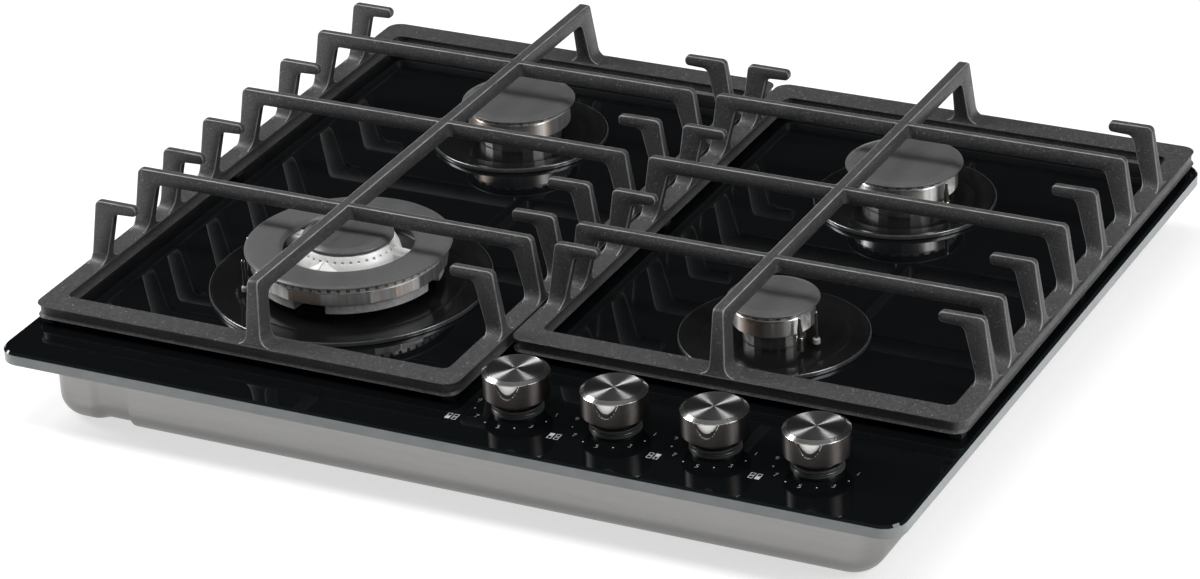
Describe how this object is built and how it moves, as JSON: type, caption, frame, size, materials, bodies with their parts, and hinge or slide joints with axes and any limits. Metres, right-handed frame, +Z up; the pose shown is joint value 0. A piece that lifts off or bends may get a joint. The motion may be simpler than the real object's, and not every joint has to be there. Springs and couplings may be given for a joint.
{
  "type": "gas cooktop",
  "caption": "Built-in gas cooktop: black glass top on a pressed steel tray, sealed burners with lift-off caps, cast pan supports in two halves and push-and-turn knobs at the front right.",
  "frame": {"origin": "centre of the overall plan outline (the glass edge), at the underside of the tray, on which the part stands", "axes": "+X to the user's right along the front edge, +Y to the rear (wall side), +Z up out of the glass"},
  "size_m": [0.59, 0.5, 0.1047],
  "materials": {
    "glass_black": "mirror-bright tempered glass printed black from below",
    "tray_steel": "satin stainless sheet",
    "seal_foam": "black sealing tape",
    "zinc_steel": "zinc-plated folded steel",
    "dish_enamel": "glossy black enamel on steel",
    "cast_alloy": "as-cast aluminium",
    "jet_brass": "turned brass",
    "bezel_grey": "glossy grey plastic",
    "tap_alloy": "die-cast tap body",
    "switch_black": "black plastic",
    "plug_ceramic": "white glazed ceramic",
    "plug_steel": "bare steel wire",
    "probe_steel": "heat-darkened steel",
    "rail_steel": "plated steel tube",
    "pipe_aluminium": "drawn aluminium tube",
    "generator_case": "moulded case",
    "terminal_plastic": "pale moulded plastic",
    "gland_plastic": "black nylon",
    "crown_aluminium": "polished turned aluminium",
    "cap_enamel": "matte grey-black enamel",
    "cast_iron_enamel": "satin black enamel on cast iron",
    "foot_rubber": "black rubber",
    "knob_metal": "radially brushed dark metal with a polished bevel",
    "spindle_steel": "turned steel",
    "plug_brass": "turned brass"
  },
  "bodies": {
    "cooktop": {"glass_top": "glass_black", "base_tray": "tray_steel", "tray_sealant": "seal_foam", "burner_bracket_front": "zinc_steel", "burner_bracket_rear": "zinc_steel", "burner_plates": "dish_enamel", "burner_cups": "cast_alloy", "injectors": "jet_brass", "knob_bezels": "bezel_grey", "valve_bodies": "tap_alloy", "ignition_switches": "switch_black", "spark_ceramics": "plug_ceramic", "spark_tips": "plug_steel", "thermocouples": "probe_steel", "gas_rail": "rail_steel", "gas_inlet": "jet_brass", "spark_generator": "generator_case", "terminal_block": "terminal_plastic", "cable_gland": "gland_plastic", "gas_pipe_wok": "pipe_aluminium", "gas_pipe_rear_left": "pipe_aluminium", "gas_pipe_rear_right": "pipe_aluminium", "gas_pipe_auxiliary": "pipe_aluminium"},
    "left_support": {"pan_support_left": "cast_iron_enamel", "support_feet_left": "foot_rubber"},
    "right_support": {"pan_support_right": "cast_iron_enamel", "support_feet_right": "foot_rubber"},
    "wok_crown": {"crown_wok": "crown_aluminium"},
    "wok_ring_cap": {"cap_wok_ring": "cap_enamel"},
    "wok_centre_cap": {"cap_wok_centre": "cap_enamel"},
    "rear_left_crown": {"crown_rear_left": "crown_aluminium"},
    "rear_left_cap": {"cap_rear_left": "cap_enamel"},
    "rear_right_crown": {"crown_rear_right": "crown_aluminium"},
    "rear_right_cap": {"cap_rear_right": "cap_enamel"},
    "auxiliary_crown": {"crown_auxiliary": "crown_aluminium"},
    "auxiliary_cap": {"cap_auxiliary": "cap_enamel"},
    "tap_plug_1": {"valve_plug_1": "plug_brass"},
    "control_knob_1": {"knob_1": "knob_metal", "spindle_1": "spindle_steel"},
    "tap_plug_2": {"valve_plug_2": "plug_brass"},
    "control_knob_2": {"knob_2": "knob_metal", "spindle_2": "spindle_steel"},
    "tap_plug_3": {"valve_plug_3": "plug_brass"},
    "control_knob_3": {"knob_3": "knob_metal", "spindle_3": "spindle_steel"},
    "tap_plug_4": {"valve_plug_4": "plug_brass"},
    "control_knob_4": {"knob_4": "knob_metal", "spindle_4": "spindle_steel"}
  },
  "joints": [
    {"name": "left_support_lift", "type": "slide", "parent": "cooktop", "child": "left_support", "axis": [0, 0, 1], "range_m": [0, 0.06]},
    {"name": "right_support_lift", "type": "slide", "parent": "cooktop", "child": "right_support", "axis": [0, 0, 1], "range_m": [0, 0.06]},
    {"name": "wok_crown_lift", "type": "slide", "parent": "cooktop", "child": "wok_crown", "axis": [0, 0, 1], "range_m": [0, 0.004]},
    {"name": "wok_ring_cap_lift", "type": "slide", "parent": "wok_crown", "child": "wok_ring_cap", "axis": [0, 0, 1], "range_m": [0, 0.008]},
    {"name": "wok_centre_cap_lift", "type": "slide", "parent": "wok_crown", "child": "wok_centre_cap", "axis": [0, 0, 1], "range_m": [0, 0.004]},
    {"name": "rear_left_crown_lift", "type": "slide", "parent": "cooktop", "child": "rear_left_crown", "axis": [0, 0, 1], "range_m": [0, 0.005]},
    {"name": "rear_left_cap_lift", "type": "slide", "parent": "rear_left_crown", "child": "rear_left_cap", "axis": [0, 0, 1], "range_m": [0, 0.008]},
    {"name": "rear_right_crown_lift", "type": "slide", "parent": "cooktop", "child": "rear_right_crown", "axis": [0, 0, 1], "range_m": [0, 0.005]},
    {"name": "rear_right_cap_lift", "type": "slide", "parent": "rear_right_crown", "child": "rear_right_cap", "axis": [0, 0, 1], "range_m": [0, 0.008]},
    {"name": "auxiliary_crown_lift", "type": "slide", "parent": "cooktop", "child": "auxiliary_crown", "axis": [0, 0, 1], "range_m": [0, 0.005]},
    {"name": "auxiliary_cap_lift", "type": "slide", "parent": "auxiliary_crown", "child": "auxiliary_cap", "axis": [0, 0, 1], "range_m": [0, 0.008]},
    {"name": "knob_1_turn", "type": "hinge", "parent": "cooktop", "child": "tap_plug_1", "pos_m": [0.0346, -0.1995, 0.0395], "axis": [0, 0, 1], "range_deg": [0, 270]},
    {"name": "knob_1_push", "type": "slide", "parent": "tap_plug_1", "child": "control_knob_1", "axis": [0, 0, -1], "range_m": [0, 0.003], "stiffness_N_per_m": 800, "springref_m": -0.005},
    {"name": "knob_2_turn", "type": "hinge", "parent": "cooktop", "child": "tap_plug_2", "pos_m": [0.098, -0.1995, 0.0395], "axis": [0, 0, 1], "range_deg": [0, 270]},
    {"name": "knob_2_push", "type": "slide", "parent": "tap_plug_2", "child": "control_knob_2", "axis": [0, 0, -1], "range_m": [0, 0.003], "stiffness_N_per_m": 800, "springref_m": -0.005},
    {"name": "knob_3_turn", "type": "hinge", "parent": "cooktop", "child": "tap_plug_3", "pos_m": [0.1614, -0.1995, 0.0395], "axis": [0, 0, 1], "range_deg": [0, 270]},
    {"name": "knob_3_push", "type": "slide", "parent": "tap_plug_3", "child": "control_knob_3", "axis": [0, 0, -1], "range_m": [0, 0.003], "stiffness_N_per_m": 800, "springref_m": -0.005},
    {"name": "knob_4_turn", "type": "hinge", "parent": "cooktop", "child": "tap_plug_4", "pos_m": [0.2248, -0.1995, 0.0395], "axis": [0, 0, 1], "range_deg": [0, 270]},
    {"name": "knob_4_push", "type": "slide", "parent": "tap_plug_4", "child": "control_knob_4", "axis": [0, 0, -1], "range_m": [0, 0.003], "stiffness_N_per_m": 800, "springref_m": -0.005}
  ]
}
